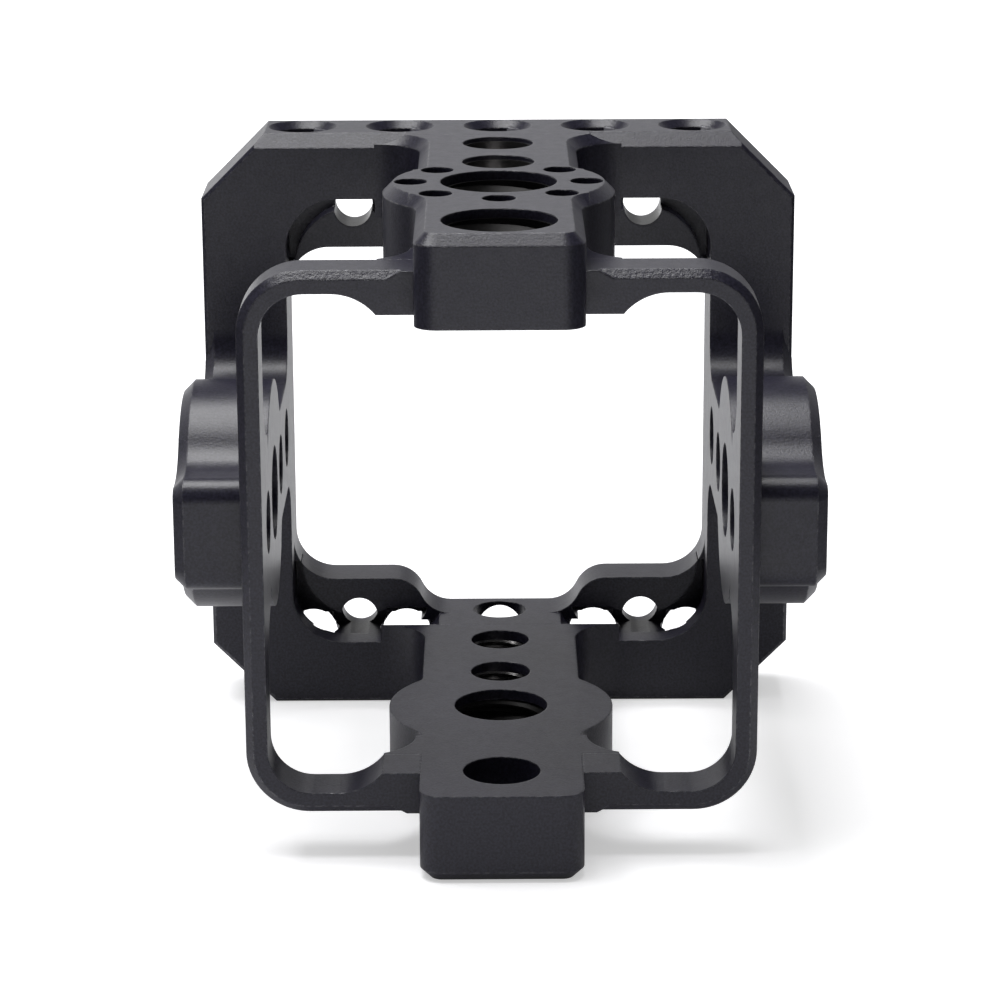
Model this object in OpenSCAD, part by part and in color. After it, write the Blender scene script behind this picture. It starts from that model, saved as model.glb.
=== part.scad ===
// Camera cage: a thin front hoop and an eight-sided rear frame joined by four
// arms with accessory threads. It stands on its bottom arm and rear frame.
// X is across, Y runs from the front (negative) to the rear, Z is up, and the
// origin lies on the floor under the middle of the cage.

/* [Cage] */
// Width across the side arms, mm
cage_w = 57.6; // [56:0.2:62]
// Height over the top and bottom arms, mm
cage_h = 57.8; // [56:0.2:62]
// Depth from the front of the noses to the rear face, mm
cage_d = 56.8; // [55:0.2:60]

/* [Arms] */
// Thickness of every arm, mm
arm_t = 8.1; // [7.8:0.1:8.6]
// Radius of the round lobe, mm
lobe_r = 10.45; // [10.2:0.05:11]
// Place of the lobes along the depth, from the front, as a share of it
lobe_share = 0.4225; // [0.415:0.0005:0.43]
// Width of the top and bottom noses, mm
nose_w = 14.5; // [14:0.1:15]
// Width of the top and bottom necks, mm
neck_w = 14.9; // [14:0.1:15.4]
// Width of the side noses, mm
side_nose_w = 10.2; // [9.8:0.1:11]
// Width of the side necks, mm
side_neck_w = 10.4; // [10:0.1:11]
// Setback of the side noses from the front, mm
side_set = 9; // [8.6:0.1:9.4]
// Corner radius of the noses, mm
nose_r = 1.95; // [1.6:0.05:2.4]
// Bevel round the outer face, mm
arm_bevel = 0.95; // [0.6:0.05:1.2]

/* [Front hoop] */
// Setback of the hoop from the front, mm
hoop_set = 5.9; // [5.6:0.1:6.2]
// Depth of the hoop, mm
hoop_d = 4.9; // [4.5:0.1:5]
// Wall of the hoop, mm
hoop_wall = 1.95; // [1.8:0.05:2.1]
// Height of the feet that stand on the noses, mm
foot_h = 3.8; // [3.2:0.1:4.2]
// Outer corner radius of the hoop, mm
hoop_r = 5.6; // [5:0.1:6]
// Width over the feet at each end, mm
foot_w = 21.2; // [20.6:0.2:22]
// Bevel of the hoop's outer front edge, mm
hoop_bevel = 0.7; // [0.4:0.1:1]

/* [Rear frame] */
// Depth of the rear frame, mm
frame_d = 8.6; // [8.4:0.1:8.8]
// Wall at the four corner recesses, mm
frame_wall = 6.3; // [6:0.1:6.6]
// Cut-off of the four corners, mm
corner_cut = 6.2; // [5:0.2:7]
// Bevel of the top front edge, mm
frame_bevel = 1.3; // [1:0.05:1.5]
// Thickness of the flange, mm
flange_t = 4.8; // [4.6:0.1:5]
// Height of the flange over the top and bottom of its opening, mm
flange_wall = 11.8; // [11.4:0.1:12.4]

/* [Threads and holes] */
// Spacing of the accessory holes, mm
pitch = 9.525; // [9.4:0.025:9.6]
// Bore of the small thread, mm
small_bore = 5.3; // [5.1:0.1:5.4]
// Mouth of the small thread, mm
small_mouth = 6.7; // [6.6:0.05:6.8]
// Bore of the large thread, mm
large_bore = 8.2; // [8:0.1:8.4]
// Mouth of the large thread, mm
large_mouth = 10; // [9.8:0.1:10.2]
// Diameter of the circle of pin holes, mm
pin_circle = 15.8; // [15.6:0.1:16]
// Diameter of the pin holes, mm
pin_bore = 3; // [2.6:0.1:3.2]
// Diameter of the four flange holes, mm
flange_bore = 3.7; // [3.3:0.1:3.7]

/* [Colours] */
// Colour of the anodised members
anodised = "#3c3c42"; // ["#3c3c42", "#50525a", "#7a2f2b", "#2f4a63"]
// Colour of the screws, pins and sleeves
steel = "#26262a"; // ["#26262a", "#8d9095", "#b59a5b"]

/* [Hidden] */
$fn = 64;

// A cutter runs this far past the face that it opens.
run_out = 1;
// Sides of the octagon and right angles, degrees
quarter = 90;
eighth = 45;

front_y = -cage_d / 2;
mid_z = cage_h / 2;
frame_y = cage_d - frame_d;
flange_y = cage_d - flange_t;
in_w = cage_w - 2 * arm_t;
in_h = cage_h - 2 * arm_t;
lobe_d = lobe_share * cage_d;

// The largest end mill used for windows and recesses, and the smaller one
mill_r = 5;
small_mill_r = 3.2;
web_r = 4;

// Hoop: its width follows the side arms, and its feet reach their inner plane
hoop_h = in_h + 2 * foot_h;
hoop_w = in_w + 2 * hoop_wall;
hoop_in_h = hoop_h - 2 * hoop_wall;
hoop_inner_r = 3.9;
bevel_end = 1.2;
bevel_run = 1.3;
gusset_x = foot_w / 2 + sqrt(pow(mill_r, 2) - pow(mill_r - foot_h + hoop_wall, 2));

// Sleeves sit below the face on a shoulder that is left at the inner face.
shoulder = 1;
sleeve_sink = 0.8;
inner_small = 5.7;
inner_large = 8.7;
land_bore = 10.5;
land_deep = 1.2;
pin_deep = 4;
pin_count = 8;

// Bores along an arm, measured from the front of the cage: they are spread
// evenly from the lobe to the row of holes in the rear frame
row_share = 0.425;
row_d = cage_d - row_share * frame_d;
bore_step = (row_d - lobe_d) / 3;
front_bore_d = 6.5;
side_front_d = lobe_d - bore_step;
third_d = lobe_d + bore_step;
fourth_d = lobe_d + 2 * bore_step;
plain_bore = 6.9;

// Fillets between nose, lobe, neck and frame
lobe_fillet = 3;
side_fillet = 5.5;
neck_fillet = 1.4;
flare_r = 4.5;
notch_w = 15.6;
notch_back = 8.35;
notch_d = lobe_d - notch_back;

// Screws that hold the arms, and pins that locate the hoop
screw_shank = 2;
screw_head = 3.8;
screw_head_h = 2;
screw_slack = 0.1;
socket_r = 0.87;
socket_deep = 1;
screw_long = 12;
side_screw_long = 9;
screw_sink = 2.3;
screw_x = pitch / 2;
side_screw_x = 4.2;
pin_d = 1.6;
pin_wall = 0.3;
pin_in = large_mouth / 2 + pin_wall;
pin_long = nose_w / 2 + pin_d - pin_in;
side_pin_d = 1.2;
side_pin_long = 6;
side_pin_x = 4.5;

// Edges and holes of the rear frame
front_edge = 0.3;
rear_edge = 0.3;
row_deep = 7.4;
cross_z = 5.15;
cross_bore = 5.1;
flange_hole_x = 14.25;
flange_hole_z = in_h / 2 + 0.2;
land_r = 5.75;
skin = 2;
relief_end = 10.4;
relief_lip = 2.4;
recess_in = 14;
recess_end = 9;
lip_x = neck_w / 2 + flare_r - sqrt(pow(flare_r + arm_bevel, 2) - pow(flare_r, 2));

// Small shapes

// Upright post with a bevelled top edge
module post(r, h, bevel) {
    rotate_extrude()
        polygon([[0, 0], [r, 0], [r, h - bevel], [r - bevel, h], [0, h]]);
}

// Cutter for a concave fillet whose top opens with the same bevel
module flared_cutter(r, h, bevel) {
    rotate_extrude()
        polygon([[0, -run_out], [r, -run_out], [r, h - bevel], [r + bevel + run_out, h + run_out],
                 [0, h + run_out]]);
}

// Bar along Y from y0 to y1 whose two top edges are bevelled
module bevelled_bar(w, y0, y1, z0, z1, bevel) {
    translate([0, y1, 0])
        rotate([quarter, 0, 0])
            linear_extrude(y1 - y0)
                polygon([[-w / 2, z0], [w / 2, z0], [w / 2, z1 - bevel], [w / 2 - bevel, z1],
                         [bevel - w / 2, z1], [-w / 2, z1 - bevel]]);
}

// Bar along X whose front top edge is bevelled
module bevelled_front(w, y0, y1, z0, z1, bevel) {
    translate([-w / 2, 0, 0])
        rotate([quarter, 0, quarter])
            linear_extrude(w)
                polygon([[y0, z0], [y1, z0], [y1, z1], [y0 + bevel, z1], [y0, z1 - bevel]]);
}

// Nose with rounded front corners, from y0 back into the lobe
module nose(w, y0, y1, z0, z1, r, bevel) {
    bevelled_bar(w, y0 + r, y1, z0, z1, bevel);
    bevelled_front(w - 2 * r, y0, y1, z0, z1, bevel);
    for (side = [-1, 1])
        translate([side * (w / 2 - r), y0 + r, z0])
            post(r, z1 - z0, bevel);
}

// Concave fillet of radius r in the corner between the flank at half width hw
// and the lobe; dir is -1 ahead of the lobe and 1 behind it
module lobe_corner(hw, r, dir, h, bevel) {
    reach = sqrt(pow(lobe_r + r, 2) - pow(hw + r, 2));
    touch_x = lobe_r * (hw + r) / (lobe_r + r);
    touch_y = lobe_r * reach / (lobe_r + r);
    deep = touch_y / 2;
    for (side = [-1, 1])
        difference() {
            translate([side > 0 ? hw / 2 : -touch_x, dir > 0 ? lobe_d + deep : lobe_d - reach, 0])
                cube([touch_x - hw / 2, reach - deep, h]);
            translate([side * (hw + r), lobe_d + dir * reach, 0])
                flared_cutter(r, h, bevel);
        }
}

// Flare that widens the neck where it meets the rear frame
module frame_flare(hw, h, bevel) {
    for (side = [-1, 1])
        difference() {
            translate([side > 0 ? hw / 2 : -hw - flare_r, frame_y - flare_r, 0])
                cube([hw / 2 + flare_r, flare_r, h]);
            translate([side * (hw + flare_r), frame_y - flare_r, 0])
                flared_cutter(flare_r, h, bevel);
        }
}

// Thin shoulder behind the hoop, cut with the large end mill
module hoop_shoulder(w, h) {
    for (side = [-1, 1])
        difference() {
            translate([side > 0 ? 0 : -w / 2, hoop_set + hoop_d, 0])
                cube([w / 2, notch_d - hoop_set - hoop_d, h]);
            translate([side * (notch_w / 2 + mill_r), notch_d, -run_out])
                cylinder(r = mill_r, h = h + 2 * run_out);
        }
}

// Bore for a sleeve: wide from the outer face, narrow at the inner face
module sleeve_seat(y, mouth, inner) {
    translate([0, y, shoulder])
        cylinder(d = mouth, h = arm_t);
    translate([0, y, -run_out])
        cylinder(d = inner, h = arm_t);
}

// Threaded sleeve, kept just below the outer face
module sleeve(y, mouth, bore) {
    translate([0, y, shoulder])
        difference() {
            cylinder(d = mouth, h = arm_t - shoulder - sleeve_sink);
            translate([0, 0, -run_out])
                cylinder(d = bore, h = arm_t + run_out);
        }
}

// Pin holes round the large bore; the one nearest the third bore is left out
module pin_holes() {
    for (i = [0 : pin_count - 1])
        if (i != 2)
            translate([pin_circle / 2 * cos(i * eighth), lobe_d + pin_circle / 2 * sin(i * eighth),
                       arm_t - pin_deep])
                cylinder(d = pin_bore, h = pin_deep + run_out, $fn = 32);
}

// Tapped holes for the two screws at the rear end of an arm
module arm_screw_holes(apart, long) {
    for (side = [-1, 1])
        translate([side * apart, frame_y + run_out, arm_t / 2])
            rotate([quarter, 0, 0])
                cylinder(d = screw_shank, h = long - (cage_d - screw_sink - frame_y) + run_out,
                         $fn = 24);
}

// Places of the four arms: Z of an arm points away from the middle

module at_top() {
    translate([0, front_y, cage_h - arm_t]) children();
}

module at_bottom() {
    translate([0, front_y, arm_t]) rotate([0, 2 * quarter, 0]) children();
}

module at_right() {
    translate([cage_w / 2 - arm_t, front_y, mid_z]) rotate([0, quarter, 0]) children();
}

module at_left() {
    translate([arm_t - cage_w / 2, front_y, mid_z]) rotate([0, -quarter, 0]) children();
}

// Arms

// Top and bottom arms reach ahead of the hoop; its feet meet their flanks.
module long_arm() {
    difference() {
        union() {
            nose(nose_w, 0, lobe_d, 0, arm_t, nose_r, arm_bevel);
            translate([0, lobe_d, 0]) post(lobe_r, arm_t, arm_bevel);
            bevelled_bar(neck_w, lobe_d, frame_y, 0, arm_t, arm_bevel);
            lobe_corner(nose_w / 2, lobe_fillet, -1, arm_t, arm_bevel);
            lobe_corner(neck_w / 2, neck_fillet, 1, arm_t, arm_bevel);
            frame_flare(neck_w / 2, arm_t, arm_bevel);
            hoop_shoulder(foot_w, foot_h);
        }
        pin_holes();
        arm_screw_holes(screw_x, screw_long);
        for (side = [-1, 1])
            translate([side * pin_in, hoop_set + hoop_d / 2, foot_h / 2])
                rotate([0, side * quarter, 0])
                    cylinder(d = pin_d, h = pin_long, $fn = 24);
    }
}

module top_arm() {
    color(anodised)
        at_top()
            difference() {
                long_arm();
                sleeve_seat(front_bore_d, large_mouth, inner_large);
                sleeve_seat(lobe_d, large_mouth, inner_large);
                translate([0, lobe_d, arm_t - land_deep])
                    cylinder(d = land_bore, h = land_deep + run_out);
                sleeve_seat(third_d, small_mouth, inner_small);
                sleeve_seat(fourth_d, small_mouth, inner_small);
            }
}

module bottom_arm() {
    color(anodised)
        at_bottom()
            difference() {
                long_arm();
                translate([0, front_bore_d, -run_out])
                    cylinder(d = plain_bore, h = arm_t + 2 * run_out);
                sleeve_seat(lobe_d, large_mouth, inner_large);
                sleeve_seat(third_d, small_mouth, inner_small);
                sleeve_seat(fourth_d, small_mouth, inner_small);
            }
}

// Side arms start beside the hoop and wrap round its outside.
module side_arm() {
    difference() {
        union() {
            nose(side_nose_w, side_set, lobe_d, 0, arm_t, nose_r, arm_bevel);
            translate([0, lobe_d, 0]) post(lobe_r, arm_t, arm_bevel);
            bevelled_bar(side_neck_w, lobe_d, frame_y, 0, arm_t, arm_bevel);
            lobe_corner(side_nose_w / 2, side_fillet, -1, arm_t, arm_bevel);
            lobe_corner(side_neck_w / 2, neck_fillet, 1, arm_t, arm_bevel);
            frame_flare(side_neck_w / 2, arm_t, arm_bevel);
            hoop_shoulder(notch_w + 2 * mill_r, hoop_wall);
        }
        translate([-cage_h / 2, side_set - run_out, -run_out])
            cube([cage_h, hoop_set + hoop_d - side_set + run_out, hoop_wall + run_out]);
        pin_holes();
        arm_screw_holes(side_screw_x, side_screw_long);
        sleeve_seat(side_front_d, small_mouth, inner_small);
        sleeve_seat(lobe_d, large_mouth, inner_large);
        sleeve_seat(third_d, small_mouth, inner_small);
        sleeve_seat(fourth_d, small_mouth, inner_small);
        for (side = [-1, 1])
            translate([side * side_pin_x, hoop_set + hoop_d - run_out, hoop_wall / 2])
                rotate([-quarter, 0, 0])
                    cylinder(d = side_pin_d, h = side_pin_long / 2 + run_out, $fn = 24);
    }
}

module left_arm() {
    color(anodised) at_left() side_arm();
}

module right_arm() {
    color(anodised) at_right() side_arm();
}

// Front hoop, made in two halves

// Rounded slab whose outer front edge is bevelled, lying with its front down.
// The bevel runs out at a slant a little way beside the noses.
module hoop_slab() {
    rim = hoop_bevel;
    full = nose_w / 2 + bevel_end;
    wide = full + bevel_run;
    linear_extrude(hoop_d)
        polygon([[-full, -hoop_h / 2], [full, -hoop_h / 2], [wide, rim - hoop_h / 2],
                 [wide, hoop_h / 2 - rim], [full, hoop_h / 2], [-full, hoop_h / 2],
                 [-wide, hoop_h / 2 - rim], [-wide, rim - hoop_h / 2]]);
    for (flat = [[hoop_w, hoop_h - 2 * hoop_r], [hoop_w - 2 * hoop_r, hoop_h]])
        intersection() {
            translate([0, flat[1] / 2, hoop_d])
                rotate([quarter, 0, 0])
                    linear_extrude(flat[1])
                        polygon([[-flat[0] / 2, 0], [flat[0] / 2, 0],
                                 [flat[0] / 2, rim - hoop_d],
                                 [flat[0] / 2 - (flat[0] == hoop_w ? rim : 0), -hoop_d],
                                 [(flat[0] == hoop_w ? rim : 0) - flat[0] / 2, -hoop_d],
                                 [-flat[0] / 2, rim - hoop_d]]);
            translate([-flat[0] / 2, 0, hoop_d])
                rotate([quarter, 0, quarter])
                    linear_extrude(flat[0])
                        polygon([[-flat[1] / 2, 0], [flat[1] / 2, 0],
                                 [flat[1] / 2, rim - hoop_d],
                                 [flat[1] / 2 - (flat[1] == hoop_h ? rim : 0), -hoop_d],
                                 [(flat[1] == hoop_h ? rim : 0) - flat[1] / 2, -hoop_d],
                                 [-flat[1] / 2, rim - hoop_d]]);
        }
    for (sx = [-1, 1], sy = [-1, 1])
        translate([sx * (hoop_w / 2 - hoop_r), sy * (hoop_h / 2 - hoop_r), hoop_d])
            rotate([2 * quarter, 0, 0])
                post(hoop_r, hoop_d, hoop_bevel);
}

// Opening of the hoop, with its rounded inner corners and the feet left standing
module hoop_window() {
    deep = hoop_d + 2 * run_out;
    translate([-in_w / 2, hoop_inner_r - hoop_in_h / 2, -run_out])
        cube([in_w, hoop_in_h - 2 * hoop_inner_r, deep]);
    for (sy = [-1, 1]) {
        for (sx = [-1, 1]) {
            translate([sx * (in_w / 2 - hoop_inner_r), sy * (hoop_in_h / 2 - hoop_inner_r), -run_out])
                cylinder(r = hoop_inner_r, h = deep);
            translate([sx > 0 ? gusset_x : hoop_inner_r - in_w / 2,
                       sy > 0 ? 0 : -hoop_in_h / 2, -run_out])
                cube([in_w / 2 - hoop_inner_r - gusset_x, hoop_in_h / 2, deep]);
            translate([sx * gusset_x, sy * (hoop_in_h / 2 - mill_r), -run_out])
                cylinder(r = mill_r, h = deep);
        }
        translate([-foot_w / 2, sy > 0 ? 0 : -in_h / 2, -run_out])
            cube([foot_w, in_h / 2, deep]);
    }
}

// Half of the hoop on the side that dir names, with its pin holes
module hoop_half(dir) {
    translate([0, front_y + hoop_set, mid_z])
        rotate([-quarter, 0, 0])
            intersection() {
                difference() {
                    hoop_slab();
                    hoop_window();
                    translate([-nose_w / 2, -cage_h / 2, -run_out])
                        cube([nose_w, cage_h, hoop_d + 2 * run_out]);
                    for (sy = [-1, 1]) {
                        translate([dir * (nose_w / 2 - run_out), sy * (in_h + foot_h) / 2,
                                   hoop_d / 2])
                            rotate([0, dir * quarter, 0])
                                cylinder(d = pin_d, h = pin_d + run_out, $fn = 24);
                        translate([dir * (in_w + hoop_wall) / 2, sy * side_pin_x,
                                   hoop_d - side_pin_long / 2])
                            cylinder(d = side_pin_d, h = side_pin_long, $fn = 24);
                    }
                }
                translate([dir > 0 ? 0 : -cage_w, -cage_h, -run_out])
                    cube([cage_w, 2 * cage_h, hoop_d + 2 * run_out]);
            }
}

module left_hoop() {
    color(anodised) hoop_half(-1);
}

module right_hoop() {
    color(anodised) hoop_half(1);
}

// Rear frame

// Slab of a given width with bevelled front and rear edges, running along Z;
// the front edge on the side of -X has a bevel of its own
module frame_slab(w, long, bevel = front_edge) {
    translate([0, 0, -long / 2])
        linear_extrude(long)
            polygon([[bevel - w / 2, frame_y], [w / 2 - front_edge, frame_y],
                     [w / 2, frame_y + front_edge], [w / 2, cage_d - rear_edge],
                     [w / 2 - rear_edge, cage_d], [rear_edge - w / 2, cage_d],
                     [-w / 2, cage_d - rear_edge], [-w / 2, frame_y + bevel]]);
}

// Eight-sided block: an upright slab, a level one whose top front edge has the
// large bevel, and two turned ones that cut off the corners. The bevel stops
// at the top arm, whose upper face runs on into the frame's.
module frame_block() {
    across = (cage_w + cage_h - 2 * corner_cut) / sqrt(2);
    intersection() {
        frame_slab(cage_w, 2 * cage_h);
        rotate([0, quarter, 0]) frame_slab(cage_h, 2 * cage_w, frame_bevel);
        rotate([0, eighth, 0]) frame_slab(across, 2 * cage_w);
        rotate([0, -eighth, 0]) frame_slab(across, 2 * cage_w);
    }
    frame_cut(-lip_x, lip_x, mid_z - frame_bevel, mid_z, frame_y, frame_y + frame_bevel);
}

// Box through the frame in X and Z, from y0 to y1
module frame_cut(x0, x1, z0, z1, y0, y1) {
    translate([x0, y0, z0])
        cube([x1 - x0, y1 - y0, z1 - z0]);
}

module round_cut(x, z, r, y0, y1) {
    translate([x, y1, z])
        rotate([quarter, 0, 0])
            cylinder(r = r, h = y1 - y0);
}

// Recess from the front: the square bay and its four rounded corner pockets
module front_recess() {
    y0 = frame_y - run_out;
    y1 = flange_y;
    top = mid_z - frame_wall;
    low = top - mill_r;
    far = in_w / 2 - mill_r;
    frame_cut(-in_w / 2, in_w / 2, -low, low, y0, y1);
    frame_cut(-far, far, -in_h / 2, in_h / 2, y0, y1);
    for (sx = [-1, 1], sz = [-1, 1]) {
        round_cut(sx * far, sz * low, mill_r, y0, y1);
        round_cut(sx * recess_end, sz * (top - small_mill_r), small_mill_r, y0, y1);
        frame_cut(sx > 0 ? recess_end : -far, sx > 0 ? far : -recess_end,
                  sz > 0 ? 0 : -top, sz > 0 ? top : 0, y0, y1);
    }
}

// Deeper part of the four corner pockets: it leaves a round land on the flange
// below each screw hole and a thinner web at the rear
module corner_reliefs() {
    y0 = flange_y - run_out;
    y1 = cage_d - skin;
    top = mid_z - frame_wall;
    low = top - small_mill_r;
    lip = top - relief_lip;
    far = in_w / 2 - small_mill_r;
    centre = flange_hole_z - land_r;
    for (sx = [-1, 1], sz = [-1, 1])
        difference() {
            union() {
                round_cut(sx * far, sz * low, small_mill_r, y0, y1);
                round_cut(sx * relief_end, sz * low, small_mill_r, y0, y1);
                frame_cut(sx > 0 ? relief_end : -far, sx > 0 ? far : -relief_end,
                          sz > 0 ? low : -top, sz > 0 ? top : -low, y0, y1);
                frame_cut(sx > 0 ? recess_in : -in_w / 2, sx > 0 ? in_w / 2 : -recess_in,
                          sz > 0 ? centre : -low, sz > 0 ? low : -centre, y0, y1);
            }
            round_cut(sx * flange_hole_x, sz * centre, land_r, y0 - run_out, y1 + run_out);
            frame_cut(sx > 0 ? 0 : -flange_hole_x, sx > 0 ? flange_hole_x : 0,
                      sz > 0 ? 0 : -lip, sz > 0 ? lip : 0, y0 - run_out, y1 + run_out);
            frame_cut(-in_w, in_w, -centre, centre, y0 - run_out, y1 + run_out);
        }
}

// Opening in the flange: rounded corners, and a wider dip at each arm
module flange_opening() {
    y0 = flange_y - run_out;
    y1 = cage_d + run_out;
    high = mid_z - flange_wall;
    far = in_w / 2 - web_r;
    rise = in_h / 2 - high;
    step = sqrt(pow(2 * small_mill_r, 2) - pow(2 * small_mill_r - rise, 2));
    dip = 5;
    frame_cut(-in_w / 2, in_w / 2, web_r - high, high - web_r, y0, y1);
    frame_cut(-far, far, -high, high, y0, y1);
    frame_cut(-dip, dip, -in_h / 2, in_h / 2, y0, y1);
    for (sx = [-1, 1], sz = [-1, 1]) {
        round_cut(sx * far, sz * (high - web_r), web_r, y0, y1);
        round_cut(sx * dip, sz * (in_h / 2 - small_mill_r), small_mill_r, y0, y1);
        difference() {
            translate([0, y1, 0])
                rotate([quarter, 0, 0])
                    linear_extrude(y1 - y0)
                        polygon([[sx * dip, 0], [sx * (dip + step), 0],
                                 [sx * (dip + step), sz * (high + small_mill_r)],
                                 [sx * dip, sz * (in_h / 2 - small_mill_r)]]);
            round_cut(sx * (dip + step), sz * (high + small_mill_r), small_mill_r,
                      y0 - run_out, y1 + run_out);
        }
    }
}

// Row of tapped holes down into the top or bottom wall, with bevelled mouths.
// They end in the cross holes, and only the middle one goes right through.
module row_holes() {
    lead = (small_mouth - small_bore) / 2;
    for (i = [-2 : 2])
        translate([i * pitch, row_d, 0]) {
            deep = i == 0 ? arm_t + run_out : row_deep;
            translate([0, 0, mid_z - deep])
                cylinder(d = small_bore, h = deep + run_out, $fn = 48);
            translate([0, 0, mid_z - lead])
                cylinder(d1 = small_bore, d2 = small_mouth + 2 * run_out,
                         h = lead + run_out, $fn = 48);
        }
}

// Cross holes from the rear face into the row holes, and the screw holes
module rear_holes() {
    for (i = [-2 : 2])
        round_cut(i * pitch, mid_z - cross_z, cross_bore / 2, flange_y - run_out, cage_d + run_out);
    screw_seats(mid_z, screw_x);
}

module screw_seats(reach, apart) {
    for (side = [-1, 1]) {
        round_cut(side * apart, reach - arm_t / 2, screw_shank / 2 + screw_slack,
                  frame_y - run_out, cage_d + run_out);
        round_cut(side * apart, reach - arm_t / 2, screw_head / 2 + screw_slack,
                  cage_d - screw_sink, cage_d + run_out);
    }
}

module rear_frame() {
    color(anodised)
        translate([0, front_y, mid_z])
            difference() {
                frame_block();
                front_recess();
                corner_reliefs();
                flange_opening();
                for (turn = [0, 2])
                    rotate([0, turn * quarter, 0]) {
                        row_holes();
                        rear_holes();
                    }
                for (turn = [-1, 1])
                    rotate([0, turn * quarter, 0])
                        screw_seats(cage_w / 2, side_screw_x);
                for (sx = [-1, 1], sz = [-1, 1])
                    round_cut(sx * flange_hole_x, sz * flange_hole_z, flange_bore / 2,
                              flange_y - run_out, cage_d + run_out);
            }
}

// Fasteners

// Cap screw with a hexagon socket, put in from the rear
module arm_screws(apart, long) {
    color(steel)
        for (side = [-1, 1])
            translate([side * apart, cage_d - screw_sink, arm_t / 2])
                rotate([quarter, 0, 0])
                    difference() {
                        union() {
                            cylinder(d = screw_shank, h = long, $fn = 24);
                            translate([0, 0, -screw_head_h])
                                cylinder(d = screw_head, h = screw_head_h, $fn = 32);
                        }
                        translate([0, 0, -screw_head_h - run_out])
                            cylinder(r = socket_r, h = socket_deep + run_out, $fn = 6);
                    }
}

module top_arm_screws() { at_top() arm_screws(screw_x, screw_long); }
module bottom_arm_screws() { at_bottom() arm_screws(screw_x, screw_long); }
module left_arm_screws() { at_left() arm_screws(side_screw_x, side_screw_long); }
module right_arm_screws() { at_right() arm_screws(side_screw_x, side_screw_long); }

// Pins across the flank of the nose into the feet of the hoop
module foot_pins() {
    color(steel)
        for (side = [-1, 1])
            translate([side * pin_in, hoop_set + hoop_d / 2, foot_h / 2])
                rotate([0, side * quarter, 0])
                    cylinder(d = pin_d, h = pin_long, $fn = 24);
}

module top_foot_pins() { at_top() foot_pins(); }
module bottom_foot_pins() { at_bottom() foot_pins(); }

// Pins along the side arm into the rear of the hoop
module side_pins() {
    color(steel)
        for (side = [-1, 1])
            translate([side * side_pin_x, hoop_set + hoop_d - side_pin_long / 2, hoop_wall / 2])
                rotate([-quarter, 0, 0])
                    cylinder(d = side_pin_d, h = side_pin_long, $fn = 24);
}

module left_side_pins() { at_left() side_pins(); }
module right_side_pins() { at_right() side_pins(); }

// Thread sleeves

module large_sleeves(spots) {
    color(steel) for (y = spots) sleeve(y, large_mouth, large_bore);
}

module small_sleeves(spots) {
    color(steel) for (y = spots) sleeve(y, small_mouth, small_bore);
}

module top_large_sleeves() { at_top() large_sleeves([front_bore_d, lobe_d]); }
module top_small_sleeves() { at_top() small_sleeves([third_d, fourth_d]); }
module bottom_large_sleeve() { at_bottom() large_sleeves([lobe_d]); }
module bottom_small_sleeves() { at_bottom() small_sleeves([third_d, fourth_d]); }
module left_large_sleeve() { at_left() large_sleeves([lobe_d]); }
module left_small_sleeves() { at_left() small_sleeves([side_front_d, third_d, fourth_d]); }
module right_large_sleeve() { at_right() large_sleeves([lobe_d]); }
module right_small_sleeves() { at_right() small_sleeves([side_front_d, third_d, fourth_d]); }

rear_frame();
top_arm();
bottom_arm();
left_arm();
right_arm();
left_hoop();
right_hoop();
top_arm_screws();
bottom_arm_screws();
left_arm_screws();
right_arm_screws();
top_foot_pins();
bottom_foot_pins();
left_side_pins();
right_side_pins();
top_large_sleeves();
top_small_sleeves();
bottom_large_sleeve();
bottom_small_sleeves();
left_large_sleeve();
left_small_sleeves();
right_large_sleeve();
right_small_sleeves();
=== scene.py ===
from math import pi, radians, tau

import bpy
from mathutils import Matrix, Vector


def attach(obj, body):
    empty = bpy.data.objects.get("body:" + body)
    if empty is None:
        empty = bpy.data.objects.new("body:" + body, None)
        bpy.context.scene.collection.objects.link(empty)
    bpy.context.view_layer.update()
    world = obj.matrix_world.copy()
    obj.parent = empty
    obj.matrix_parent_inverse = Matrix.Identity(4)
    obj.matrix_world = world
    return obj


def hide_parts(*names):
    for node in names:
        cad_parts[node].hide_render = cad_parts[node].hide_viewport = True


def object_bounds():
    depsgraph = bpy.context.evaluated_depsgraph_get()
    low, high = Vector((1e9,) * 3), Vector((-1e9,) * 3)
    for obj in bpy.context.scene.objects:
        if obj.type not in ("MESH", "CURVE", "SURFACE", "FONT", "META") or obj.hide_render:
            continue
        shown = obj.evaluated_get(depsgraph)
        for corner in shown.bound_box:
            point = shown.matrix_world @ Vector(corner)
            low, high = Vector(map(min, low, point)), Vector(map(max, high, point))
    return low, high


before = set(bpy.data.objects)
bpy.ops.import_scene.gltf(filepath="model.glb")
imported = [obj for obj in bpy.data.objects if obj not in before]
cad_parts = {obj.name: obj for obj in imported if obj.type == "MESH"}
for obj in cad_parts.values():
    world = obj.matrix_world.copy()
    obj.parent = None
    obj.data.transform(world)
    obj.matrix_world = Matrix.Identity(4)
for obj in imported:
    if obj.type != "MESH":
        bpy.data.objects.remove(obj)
cad_box = [list(corner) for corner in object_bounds()]


# Rear frame
# The eight-sided frame is milled from aluminium plate, bead-blasted and black
# anodised.

BLAST_GRAIN = 5200


def shader_node(material, kind, **settings):
    """A node of that kind, with its named properties and numbered inputs set."""
    node = material.node_tree.nodes.new(kind)
    for key, value in settings.items():
        if key.startswith("input_"):
            node.inputs[int(key[6:])].default_value = value
        else:
            setattr(node, key, value)
    return node


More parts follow.
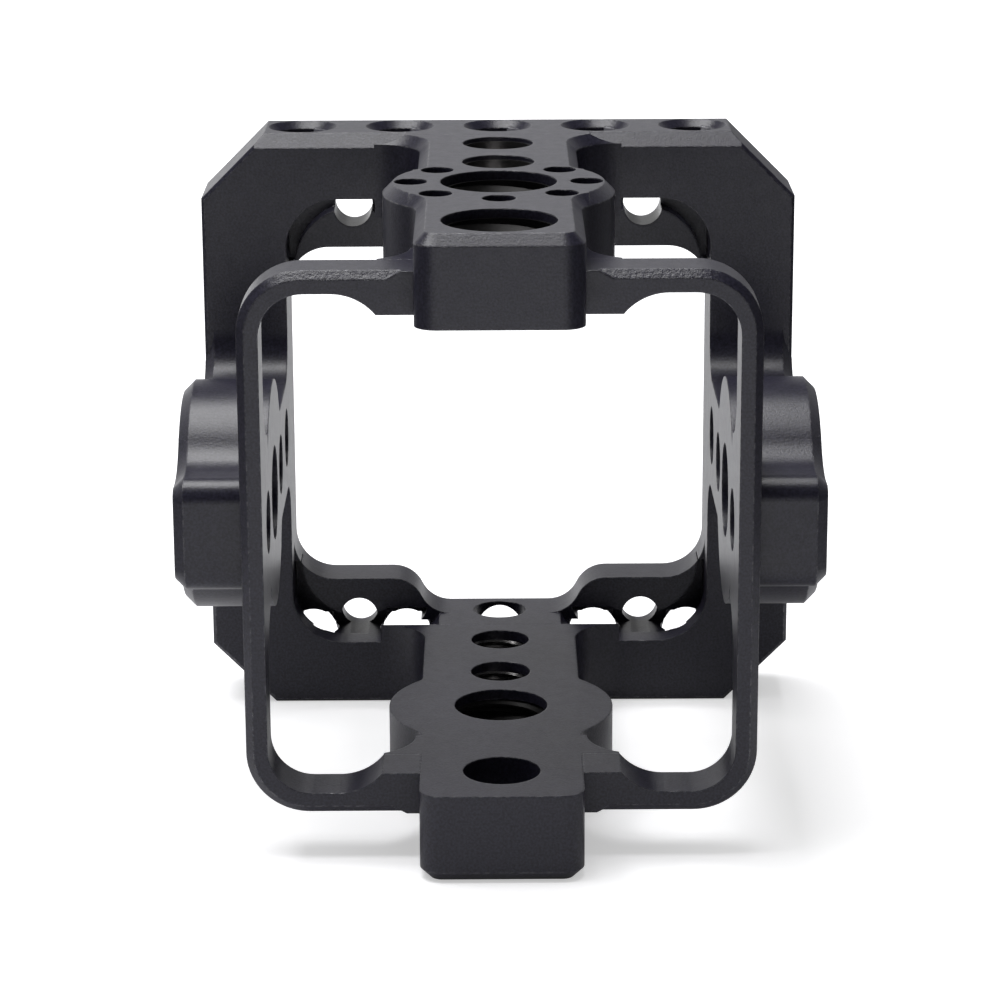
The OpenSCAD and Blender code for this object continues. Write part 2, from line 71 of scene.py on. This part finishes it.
def anodised_finish(name, streaks=(1, 1, 1), chatter=0.0, seam=1.0):
    """Black anodising over blasted metal, with cutter marks drawn out along one axis.

    Behind the seam, where a flare thins out to nothing, no edge is softened.
    """
    material = bpy.data.materials.new(name)
    material.use_nodes = True
    links = material.node_tree.links
    metal = material.node_tree.nodes["Principled BSDF"]
    metal.inputs["IOR"].default_value = 1.46
    place = shader_node(material, "ShaderNodeTexCoord")

    # The dye takes a little unevenly.
    cloud = shader_node(material, "ShaderNodeTexNoise")
    cloud.inputs["Scale"].default_value = 4400
    cloud.inputs["Detail"].default_value = 3
    dye = shader_node(material, "ShaderNodeValToRGB")
    dye.color_ramp.elements[0].position = 0.36
    dye.color_ramp.elements[0].color = (0.0125, 0.0116, 0.0212, 1)
    dye.color_ramp.elements[1].position = 0.64
    dye.color_ramp.elements[1].color = (0.0295, 0.0280, 0.0465, 1)
    links.new(place.outputs["Object"], cloud.inputs["Vector"])
    links.new(cloud.outputs["Fac"], dye.inputs["Fac"])

    # Edges catch wear: here and there the dye is rubbed through to the bright metal.
    soft_edge = shader_node(material, "ShaderNodeBevel", samples=4)
    soft_edge.inputs["Radius"].default_value = 0.00022
    surface = shader_node(material, "ShaderNodeNewGeometry")
    bend = shader_node(material, "ShaderNodeVectorMath", operation="DOT_PRODUCT")
    rub = shader_node(material, "ShaderNodeMapRange")
    rub.inputs["From Min"].default_value = 0.990
    rub.inputs["From Max"].default_value = 0.910
    rub.inputs["To Min"].default_value = 0.0
    rub.inputs["To Max"].default_value = 0.65
    sound = shader_node(material, "ShaderNodeMath", operation="GREATER_THAN", input_1=0.6)
    spot = shader_node(material, "ShaderNodeSeparateXYZ")
    thick = shader_node(material, "ShaderNodeMath", operation="LESS_THAN", input_1=seam)
    softened = shader_node(material, "ShaderNodeMath", operation="MULTIPLY")
    nicks = shader_node(material, "ShaderNodeTexNoise")
    nicks.inputs["Scale"].default_value = 2100
    nicks.inputs["Detail"].default_value = 3
    nicked = shader_node(material, "ShaderNodeMapRange")
    nicked.inputs["From Min"].default_value = 0.44
    nicked.inputs["From Max"].default_value = 0.62
    nicked.inputs["To Min"].default_value = 0.10
    rubbed = shader_node(material, "ShaderNodeMath", operation="MULTIPLY")
    rubbed_here = shader_node(material, "ShaderNodeMath", operation="MULTIPLY")
    edge = shader_node(material, "ShaderNodeMix", data_type="VECTOR")
    worn = shader_node(material, "ShaderNodeMix", data_type="RGBA")
    worn.inputs["B"].default_value = (0.300, 0.300, 0.310, 1)
    links.new(soft_edge.outputs["Normal"], bend.inputs[0])
    links.new(surface.outputs["True Normal"], bend.inputs[1])
    links.new(bend.outputs["Value"], rub.inputs["Value"])
    links.new(bend.outputs["Value"], sound.inputs[0])
    links.new(place.outputs["Object"], spot.inputs["Vector"])
    links.new(spot.outputs["Y"], thick.inputs[0])
    links.new(sound.outputs["Value"], softened.inputs[0])
    links.new(thick.outputs["Value"], softened.inputs[1])
    links.new(rub.outputs["Result"], rubbed.inputs[0])
    links.new(softened.outputs["Value"], rubbed.inputs[1])
    links.new(softened.outputs["Value"], edge.inputs["Factor"])
    links.new(surface.outputs["Normal"], edge.inputs["A"])
    links.new(soft_edge.outputs["Normal"], edge.inputs["B"])
    links.new(place.outputs["Object"], nicks.inputs["Vector"])
    links.new(nicks.outputs["Fac"], nicked.inputs["Value"])
    links.new(rubbed.outputs["Value"], rubbed_here.inputs[0])
    links.new(nicked.outputs["Result"], rubbed_here.inputs[1])
    links.new(rubbed_here.outputs["Value"], worn.inputs["Factor"])
    links.new(rubbed_here.outputs["Value"], metal.inputs["Metallic"])
    links.new(dye.outputs["Color"], worn.inputs["A"])
    links.new(worn.outputs["Result"], metal.inputs["Base Color"])

    # Blasting leaves a fine grain, and its density shifts the gloss.
    patch = shader_node(material, "ShaderNodeTexNoise")
    patch.inputs["Scale"].default_value = 900
    patch.inputs["Detail"].default_value = 4
    gloss = shader_node(material, "ShaderNodeMapRange")
    gloss.inputs["To Min"].default_value = 0.28
    gloss.inputs["To Max"].default_value = 0.38
    grain = shader_node(material, "ShaderNodeTexNoise")
    grain.inputs["Scale"].default_value = BLAST_GRAIN
    grain.inputs["Detail"].default_value = 3
    links.new(place.outputs["Object"], patch.inputs["Vector"])
    links.new(patch.outputs["Fac"], gloss.inputs["Value"])
    links.new(gloss.outputs["Result"], metal.inputs["Roughness"])
    links.new(place.outputs["Object"], grain.inputs["Vector"])

    # Cutter marks, squeezed across their run by the mapping.
    drawn = shader_node(material, "ShaderNodeMapping")
    drawn.inputs["Scale"].default_value = streaks
    marks = shader_node(material, "ShaderNodeTexNoise")
    marks.inputs["Scale"].default_value = 2600
    marks.inputs["Detail"].default_value = 2
    lines = shader_node(material, "ShaderNodeBump")
    lines.inputs["Strength"].default_value = 0.20
    lines.inputs["Distance"].default_value = 0.00004
    blast = shader_node(material, "ShaderNodeBump")
    blast.inputs["Strength"].default_value = 0.5
    blast.inputs["Distance"].default_value = 0.00003
    links.new(place.outputs["Object"], drawn.inputs["Vector"])
    links.new(drawn.outputs["Vector"], marks.inputs["Vector"])
    links.new(marks.outputs["Fac"], lines.inputs["Height"])
    links.new(edge.outputs["Result"], lines.inputs["Normal"])
    links.new(lines.outputs["Normal"], blast.inputs["Normal"])
    links.new(grain.outputs["Fac"], blast.inputs["Height"])
    last = blast

    if chatter:
        # The cutter has chattered on the face that slopes forward and up.
        slope = shader_node(material, "ShaderNodeVectorMath", operation="DOT_PRODUCT")
        slope.inputs[1].default_value = (0, -0.7071, 0.7071)
        only = shader_node(material, "ShaderNodeMapRange")
        only.inputs["From Min"].default_value = 0.93
        only.inputs["From Max"].default_value = 0.98
        ripple = shader_node(material, "ShaderNodeTexNoise")
        ripple.inputs["Scale"].default_value = 2700
        ripple.inputs["Detail"].default_value = 3
        ripple.inputs["Roughness"].default_value = 0.6
        rough = shader_node(material, "ShaderNodeMath", operation="MULTIPLY")
        chips = shader_node(material, "ShaderNodeBump")
        chips.inputs["Strength"].default_value = chatter
        chips.inputs["Distance"].default_value = 0.00012
        links.new(surface.outputs["True Normal"], slope.inputs[0])
        links.new(slope.outputs["Value"], only.inputs["Value"])
        links.new(place.outputs["Object"], ripple.inputs["Vector"])
        links.new(ripple.outputs["Fac"], rough.inputs[0])
        links.new(only.outputs["Result"], rough.inputs[1])
        links.new(rough.outputs["Value"], chips.inputs["Height"])
        links.new(last.outputs["Normal"], chips.inputs["Normal"])
        last = chips

    links.new(last.outputs["Normal"], metal.inputs["Normal"])
    return material


def give_finish(node_name, material):
    """Puts the material on a piece that came with the frame."""
    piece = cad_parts[node_name]
    piece.data.materials.clear()
    piece.data.materials.append(material)


frame_finish = anodised_finish("anodised_frame", (1, 0.25, 1))
give_finish("rear_frame", frame_finish)


# Four arms
# Each arm is milled from bar: a nose, a round lobe and a neck that flares into
# the rear frame. The cutter has gone round their flanks and left fine marks
# that run through the thickness.

# The flares are thinner than their softened edges from this depth back.
THIN_FROM = 0.0193

for arm, run in (
    ("top", (1, 1, 0.12)), ("bottom", (1, 1, 0.12)), ("left", (0.12, 1, 1)), ("right", (0.12, 1, 1))
):
    give_finish(arm + "_arm", anodised_finish("anodised_" + arm + "_arm", run, seam=THIN_FROM))


# Front hoop
# Two thin milled halves, pinned to the noses. The bevel round the outer front
# edge was cut last and shows chatter along the top.

hoop_finish = anodised_finish("anodised_hoop", (1, 0.3, 1), chatter=0.5)
give_finish("left_hoop", hoop_finish)
give_finish("right_hoop", hoop_finish)


# Screws and pins
# Black-oxide cap screws hold the arms on from behind, and dowel pins of the
# same steel locate the hoop.


def blackened_steel(name, grain, dull, bare_and_painted_light=0.075):
    """Steel with a thin black oxide that lets some of the metal through; on the thread sleeves the
    same brightness also paints glints on the small ones and shade on the large ones.
    """
    material = bpy.data.materials.new(name)
    material.use_nodes = True
    links = material.node_tree.links
    steel = material.node_tree.nodes["Principled BSDF"]
    steel.inputs["Metallic"].default_value = 0.85
    place = shader_node(material, "ShaderNodeTexCoord")
    oxide = shader_node(material, "ShaderNodeTexNoise")
    oxide.inputs["Scale"].default_value = grain
    oxide.inputs["Detail"].default_value = 4
    tone = shader_node(material, "ShaderNodeValToRGB")
    tone.color_ramp.elements[0].color = (bare_and_painted_light * 0.37, bare_and_painted_light * 0.36, bare_and_painted_light * 0.37, 1)
    tone.color_ramp.elements[1].color = (bare_and_painted_light, bare_and_painted_light * 0.97, bare_and_painted_light * 0.96, 1)
    sheen = shader_node(material, "ShaderNodeMapRange")
    sheen.inputs["To Min"].default_value = dull - 0.07
    sheen.inputs["To Max"].default_value = dull + 0.07
    skin = shader_node(material, "ShaderNodeBump")
    skin.inputs["Strength"].default_value = 0.2
    skin.inputs["Distance"].default_value = 0.00002
    links.new(place.outputs["Object"], oxide.inputs["Vector"])
    links.new(oxide.outputs["Fac"], tone.inputs["Fac"])
    links.new(tone.outputs["Color"], steel.inputs["Base Color"])
    links.new(oxide.outputs["Fac"], sheen.inputs["Value"])
    links.new(sheen.outputs["Result"], steel.inputs["Roughness"])
    links.new(oxide.outputs["Fac"], skin.inputs["Height"])
    links.new(skin.outputs["Normal"], steel.inputs["Normal"])
    return material


screw_steel = blackened_steel("oxide_screws", 2200, 0.36)
for side in ("top", "bottom", "left", "right"):
    give_finish(side + "_arm_screws", screw_steel)
for pins in ("top_foot_pins", "bottom_foot_pins", "left_side_pins", "right_side_pins"):
    give_finish(pins, screw_steel)


# Thread sleeves
# Every accessory hole in an arm has a threaded steel sleeve: a thin tube with
# the thread's ridge winding up its wall. Large holes are 3/8 inch with 16 turns
# to the inch, small ones 1/4 inch with 20.

SLEEVE_START = 0.001
RIDGE_FOOT = 0.86
STEPS_A_TURN = 48
SLEEVES = {
    "large": {
        "outside": 0.005, "root": 0.00474, "crest": 0.0041, "pitch": 0.0015875, "length": 0.0063
    },
    "small": {
        "outside": 0.00335, "root": 0.00314, "crest": 0.00265, "pitch": 0.00127, "length": 0.0067
    },
}


def only_this(piece):
    """Deselects everything, then selects this piece and makes it active."""
    bpy.ops.object.select_all(action="DESELECT")
    piece.select_set(True)
    bpy.context.view_layer.objects.active = piece


def sleeve_tube(size):
    """Closed thin tube standing on its start, built from one ring."""
    bpy.ops.object.select_all(action="DESELECT")
    bpy.ops.mesh.primitive_circle_add(
        vertices=72, radius=size["root"], location=(0, 0, SLEEVE_START)
    )
    tube = bpy.context.object
    bpy.ops.object.transform_apply(location=True, rotation=True, scale=True)
    grow = size["outside"] / size["root"]
    bpy.ops.object.mode_set(mode="EDIT")
    bpy.ops.mesh.select_all(action="SELECT")
    bpy.ops.mesh.extrude_region_move(TRANSFORM_OT_translate={"value": (0, 0, size["length"])})
    bpy.ops.mesh.extrude_region_move(TRANSFORM_OT_translate={"value": (0, 0, 0)})
    bpy.ops.transform.resize(
        value=(grow, grow, 1), center_override=(0, 0, SLEEVE_START + size["length"])
    )
    bpy.ops.mesh.extrude_region_move(TRANSFORM_OT_translate={"value": (0, 0, -size["length"])})
    bpy.ops.mesh.select_all(action="DESELECT")
    bpy.ops.mesh.select_mode(type="EDGE")
    bpy.ops.mesh.select_non_manifold()
    bpy.ops.mesh.bridge_edge_loops()
    bpy.ops.mesh.select_all(action="SELECT")
    bpy.ops.mesh.normals_make_consistent(inside=False)
    bpy.ops.object.mode_set(mode="OBJECT")
    return tube


def thread_ridge(size, bottom, top):
    """Helical ridge of the thread, wound from a three-cornered profile."""
    base = size["pitch"] * RIDGE_FOOT
    height = size["root"] - size["crest"]
    low, high = bottom + base / 2, top - base / 2
    bpy.ops.object.select_all(action="DESELECT")
    bpy.ops.mesh.primitive_circle_add(vertices=3, radius=height * 2 / 3, location=(0, 0, 0))
    ridge = bpy.context.object
    # The profile is stood up with its point towards the axis and stretched to the pitch.
    ridge.rotation_euler = (radians(90), 0, 0)
    bpy.ops.object.transform_apply(location=True, rotation=True, scale=True)
    ridge.rotation_euler = (0, radians(-90), 0)
    bpy.ops.object.transform_apply(location=True, rotation=True, scale=True)
    ridge.scale = (1, 1, base / (height * 2 / 3 * 3**0.5))
    ridge.location = (size["root"] - height / 3 + 0.00004, 0, low)
    bpy.ops.object.transform_apply(location=True, rotation=True, scale=True)
    turns = (high - low) / size["pitch"]
    wind = ridge.modifiers.new("wind", "SCREW")
    wind.axis = "Z"
    wind.angle = tau * turns
    wind.screw_offset = high - low
    wind.iterations = 1
    wind.steps = wind.render_steps = int(STEPS_A_TURN * turns)
    wind.use_merge_vertices = False
    bpy.ops.object.modifier_apply(modifier="wind")
    bpy.ops.object.mode_set(mode="EDIT")
    bpy.ops.mesh.select_all(action="DESELECT")
    bpy.ops.mesh.select_mode(type="EDGE")
    bpy.ops.mesh.select_non_manifold()
    bpy.ops.mesh.fill_holes(sides=3)
    bpy.ops.mesh.select_all(action="SELECT")
    bpy.ops.mesh.normals_make_consistent(inside=False)
    bpy.ops.object.mode_set(mode="OBJECT")
    return ridge


def one_sleeve(kind):
    """Tube and ridge joined, at the origin and pointing up."""
    tube = sleeve_tube(SLEEVES[kind])
    ridge = thread_ridge(SLEEVES[kind], 0.0003, SLEEVE_START + SLEEVES[kind]["length"])
    bpy.ops.object.select_all(action="DESELECT")
    ridge.select_set(True)
    tube.select_set(True)
    bpy.context.view_layer.objects.active = tube
    bpy.ops.object.join()
    bpy.ops.object.shade_smooth_by_angle(angle=radians(28))
    return tube


def place_sleeves(name, node_name, kind, depths, turn, corner):
    """Copies of the sleeve along one arm, joined into a single piece."""
    made = []
    for depth in depths:
        pattern = patterns[kind]
        piece = pattern.copy()
        piece.data = pattern.data.copy()
        bpy.context.collection.objects.link(piece)
        only_this(piece)
        piece.rotation_euler = turn
        piece.location = (corner[0], corner[1] + depth, corner[2])
        bpy.ops.object.transform_apply(location=True, rotation=True, scale=True)
        made.append(piece)
    bpy.ops.object.select_all(action="DESELECT")
    for piece in made:
        piece.select_set(True)
    bpy.context.view_layer.objects.active = made[0]
    if len(made) > 1:
        bpy.ops.object.join()
    sleeves = bpy.context.object
    sleeves.name = name
    sleeves.data.materials.clear()
    sleeves.data.materials.append(sleeve_steel[kind])
    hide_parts(node_name)
    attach(sleeves, "root")
    return sleeves


# The small sleeves are lightened to paint glints on their threads, and the large ones are darkened
# to paint the shade deep in their holes.
sleeve_steel = {
    "large": blackened_steel("oxide_sleeves_painted_shade", 3000, 0.42, bare_and_painted_light=0.020),
    "small": blackened_steel("sleeves_painted_glints", 1400, 0.22, bare_and_painted_light=0.22),
}
patterns = {kind: one_sleeve(kind) for kind in SLEEVES}

# How far the holes lie behind the front of the noses, and an arm's thickness.
FRONT, LOBE, STEP = 0.0065, 0.023998, 0.0097157
FIRST, THIRD, FOURTH = LOBE - STEP, LOBE + STEP, LOBE + 2 * STEP
ARM = 0.0081
low_corner, high_corner = cad_box
front = low_corner[1]
middle = (low_corner[2] + high_corner[2]) / 2
above = (0, front, high_corner[2] - ARM)
below = (0, front, low_corner[2] + ARM)
leftward = (low_corner[0] + ARM, front, middle)
rightward = (high_corner[0] - ARM, front, middle)
up, down = (0, 0, 0), (0, pi, 0)
left, right = (0, -pi / 2, 0), (0, pi / 2, 0)

place_sleeves("top_large_threads", "top_large_sleeves", "large", [FRONT, LOBE], up, above)
place_sleeves("top_small_threads", "top_small_sleeves", "small", [THIRD, FOURTH], up, above)
place_sleeves("bottom_large_thread", "bottom_large_sleeve", "large", [LOBE], down, below)
place_sleeves("bottom_small_threads", "bottom_small_sleeves", "small", [THIRD, FOURTH], down, below)
place_sleeves("left_large_thread", "left_large_sleeve", "large", [LOBE], left, leftward)
place_sleeves(
    "left_small_threads", "left_small_sleeves", "small", [FIRST, THIRD, FOURTH], left, leftward
)
place_sleeves("right_large_thread", "right_large_sleeve", "large", [LOBE], right, rightward)
place_sleeves(
    "right_small_threads", "right_small_sleeves", "small", [FIRST, THIRD, FOURTH], right, rightward
)
for pattern in patterns.values():
    bpy.data.objects.remove(pattern)


# Tapped rows
# The five holes in each row of the frame have no sleeve. They are tapped in the
# metal, and the thread runs from the mouth down to the cross hole.

ROW_DEPTH = 0.024745
ROW_PITCH = 0.009525
THREAD_FROM, THREAD_TO = 0.0050, 0.0076
TAPPED = {"root": 0.00268, "crest": 0.00228, "pitch": 0.00127}

for row_name, row_turn, row_z in (
    ("top_row_threads", up, high_corner[2] - ARM),
    ("bottom_row_threads", down, low_corner[2] + ARM),
):
    row = []
    for number in (-2, -1, 0, 1, 2):
        tapped = thread_ridge(TAPPED, THREAD_FROM, THREAD_TO)
        tapped.rotation_euler = row_turn
        tapped.location = (number * ROW_PITCH, ROW_DEPTH, row_z)
        bpy.ops.object.transform_apply(location=True, rotation=True, scale=True)
        row.append(tapped)
    bpy.ops.object.select_all(action="DESELECT")
    for tapped in row:
        tapped.select_set(True)
    bpy.context.view_layer.objects.active = row[0]
    bpy.ops.object.join()
    row_threads = bpy.context.object
    row_threads.name = row_name
    bpy.ops.object.shade_smooth_by_angle(angle=radians(28))
    row_threads.data.materials.append(frame_finish)
    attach(row_threads, "root")


# Table
# The cage stands on a matt white sheet that runs far back. It is lifted to white
# where it is seen, and the cage's soft shadow stays on it. In the mirror of the
# metal the sheet is a narrow strip in front that widens behind, with dark table
# on either side.

bpy.ops.object.select_all(action="DESELECT")
bpy.ops.mesh.primitive_plane_add(size=6, location=(0, 0, 0))
table = bpy.context.object
table.name = "table"
paper = bpy.data.materials.new("matt_paper")
paper.use_nodes = True
paper_links = paper.node_tree.links
sheet = paper.node_tree.nodes["Principled BSDF"]
sheet.inputs["Roughness"].default_value = 0.9
sheet.inputs["Specular IOR Level"].default_value = 0.1
paper_place = shader_node(paper, "ShaderNodeTexCoord")
ray = shader_node(paper, "ShaderNodeLightPath")
fibre = shader_node(paper, "ShaderNodeTexNoise")
fibre.inputs["Scale"].default_value = 700
fibre_tone = shader_node(paper, "ShaderNodeValToRGB")
fibre_tone.color_ramp.elements[0].color = (0.70, 0.70, 0.72, 1)
fibre_tone.color_ramp.elements[1].color = (0.74, 0.74, 0.76, 1)
paper_links.new(paper_place.outputs["Object"], fibre.inputs["Vector"])
paper_links.new(fibre.outputs["Fac"], fibre_tone.inputs["Fac"])


def across_sheet(axis, start, end, low=0.0, high=1.0):
    """A soft step over the sheet along one of its axes, from low to high."""
    step = shader_node(paper, "ShaderNodeMapRange", interpolation_type="SMOOTHSTEP")
    for socket, value in (
        ("From Min", start), ("From Max", end), ("To Min", low), ("To Max", high)
    ):
        step.inputs[socket].default_value = value
    paper_links.new(axis, step.inputs["Value"])
    return step.outputs["Result"]


def on_paper(operation, first, second, third=None):
    """A sum or product of two or three values of the sheet."""
    reckoned = shader_node(paper, "ShaderNodeMath", operation=operation)
    for socket, value in zip(reckoned.inputs, (first, second, third)):
        if isinstance(value, float):
            socket.default_value = value
        elif value is not None:
            paper_links.new(value, socket)
    return reckoned.outputs["Value"]


# How far each place of the sheet belongs to the strip in front, the wide part
# behind on the left, or the dark table on either side.
on_sheet = shader_node(paper, "ShaderNodeSeparateXYZ")
paper_links.new(paper_place.outputs["Object"], on_sheet.inputs["Vector"])
aside = shader_node(paper, "ShaderNodeMath", operation="ABSOLUTE")
paper_links.new(on_sheet.outputs["X"], aside.inputs[0])
beside = across_sheet(aside.outputs["Value"], 0.07, 0.14)
ahead = across_sheet(on_sheet.outputs["Y"], -0.02, -0.26, 0.12, 1.0)
behind = across_sheet(on_sheet.outputs["Y"], 0.22, 0.50)
on_left = across_sheet(on_sheet.outputs["X"], 0.13, 0.07)
rear = on_paper("MULTIPLY", behind, on_left)
outer = on_paper("MULTIPLY", beside, on_paper("SUBTRACT", 1.0, rear))

# The dark table isn't seen by the camera.
unseen = on_paper("SUBTRACT", 1.0, ray.outputs["Is Camera Ray"])
tone = shader_node(paper, "ShaderNodeMix", data_type="RGBA")
tone.inputs["B"].default_value = (0.10, 0.10, 0.105, 1)
paper_links.new(on_paper("MULTIPLY", outer, unseen), tone.inputs["Factor"])
paper_links.new(fibre_tone.outputs["Color"], tone.inputs["A"])
paper_links.new(tone.outputs["Result"], sheet.inputs["Base Color"])

# The seen sheet is lifted less close round the cage, where ambient occlusion paints a contact
# shadow, and more far away.
painted_contact_shadow = shader_node(paper, "ShaderNodeAmbientOcclusion", samples=8)
painted_contact_shadow.inputs["Distance"].default_value = 0.010
reach = shader_node(paper, "ShaderNodeVectorMath", operation="LENGTH")
paper_links.new(paper_place.outputs["Object"], reach.inputs[0])
far = across_sheet(reach.outputs["Value"], 0.16, 0.60, 0.0, 0.40)
lift_with_painted_shadow = on_paper("MULTIPLY_ADD", painted_contact_shadow.outputs["AO"], 0.26, 0.42)
shown = on_paper("MULTIPLY", ray.outputs["Is Camera Ray"], on_paper("ADD", lift_with_painted_shadow, far))
inner = on_paper("SUBTRACT", 1.0, outer)
bright = on_paper("MULTIPLY_ADD", ahead, inner, rear)
lift = on_paper("MULTIPLY_ADD", ray.outputs["Is Glossy Ray"], bright, shown)
sheet.inputs["Emission Color"].default_value = (1, 1, 1, 1)
paper_links.new(lift, sheet.inputs["Emission Strength"])
table.data.materials.append(paper)


# Studio
# One large soft lamp hangs overhead on the left, a little behind the cage. The
# wall behind is pale up to head height and dimmer at its right end, and the rest
# of the room is dim.

lamp_data = bpy.data.lights.new("overhead_softbox", "AREA")
lamp_data.shape = "RECTANGLE"
lamp_data.size = 0.60
lamp_data.size_y = 0.56
lamp_data.energy = 8.9
lamp = bpy.data.objects.new("overhead_softbox", lamp_data)
lamp.location = (-0.21, 0.10, 0.80)
bpy.context.collection.objects.link(lamp)

room = bpy.data.worlds.new("room")
bpy.context.scene.world = room
room.use_nodes = True
room_links = room.node_tree.links
air = room.node_tree.nodes["Background"]
air.inputs["Color"].default_value = (1, 1, 1, 1)
look = shader_node(room, "ShaderNodeTexCoord")
way = shader_node(room, "ShaderNodeSeparateXYZ")
wall = shader_node(room, "ShaderNodeMapRange", interpolation_type="SMOOTHSTEP")
wall.inputs["From Min"].default_value = -0.35
wall.inputs["From Max"].default_value = 0.75
wall.inputs["To Min"].default_value = 0.0
wall.inputs["To Max"].default_value = 0.64
ceiling = shader_node(room, "ShaderNodeMapRange", interpolation_type="SMOOTHSTEP")
ceiling.inputs["From Min"].default_value = 0.62
ceiling.inputs["From Max"].default_value = 0.34
right_end = shader_node(room, "ShaderNodeMapRange", interpolation_type="SMOOTHSTEP")
right_end.inputs["From Min"].default_value = 0.05
right_end.inputs["From Max"].default_value = 0.17
right_end.inputs["To Min"].default_value = 1.0
right_end.inputs["To Max"].default_value = 0.45
along = shader_node(room, "ShaderNodeMath", operation="MULTIPLY")
lit = shader_node(room, "ShaderNodeMath", operation="MULTIPLY_ADD", input_2=0.05)
seen = shader_node(room, "ShaderNodeLightPath")
level = shader_node(room, "ShaderNodeMix", data_type="FLOAT")
level.inputs["B"].default_value = 1.0
room_links.new(look.outputs["Generated"], way.inputs["Vector"])
room_links.new(way.outputs["Y"], wall.inputs["Value"])
room_links.new(way.outputs["Z"], ceiling.inputs["Value"])
room_links.new(way.outputs["X"], right_end.inputs["Value"])
room_links.new(wall.outputs["Result"], along.inputs[0])
room_links.new(right_end.outputs["Result"], along.inputs[1])
room_links.new(along.outputs["Value"], lit.inputs[0])
room_links.new(ceiling.outputs["Result"], lit.inputs[1])
room_links.new(lit.outputs["Value"], level.inputs["A"])
room_links.new(seen.outputs["Is Camera Ray"], level.inputs["Factor"])
room_links.new(level.outputs["Result"], air.inputs["Strength"])


# Camera
# In front of the cage and a little above it, looking down about sixteen degrees.

cam_data = bpy.data.cameras.new("camera")
cam_data.sensor_width = 36
cam_data.lens = 123.808
cam_data.clip_start = 0.01
cam = bpy.data.objects.new("camera", cam_data)
cam.location = (-0.000805, -0.308700, 0.115552)
cam.rotation_euler = (radians(73.9574), radians(0.2468), radians(-0.2223))
bpy.context.collection.objects.link(cam)
bpy.context.scene.camera = cam

bpy.context.scene.view_settings.view_transform = "Standard"
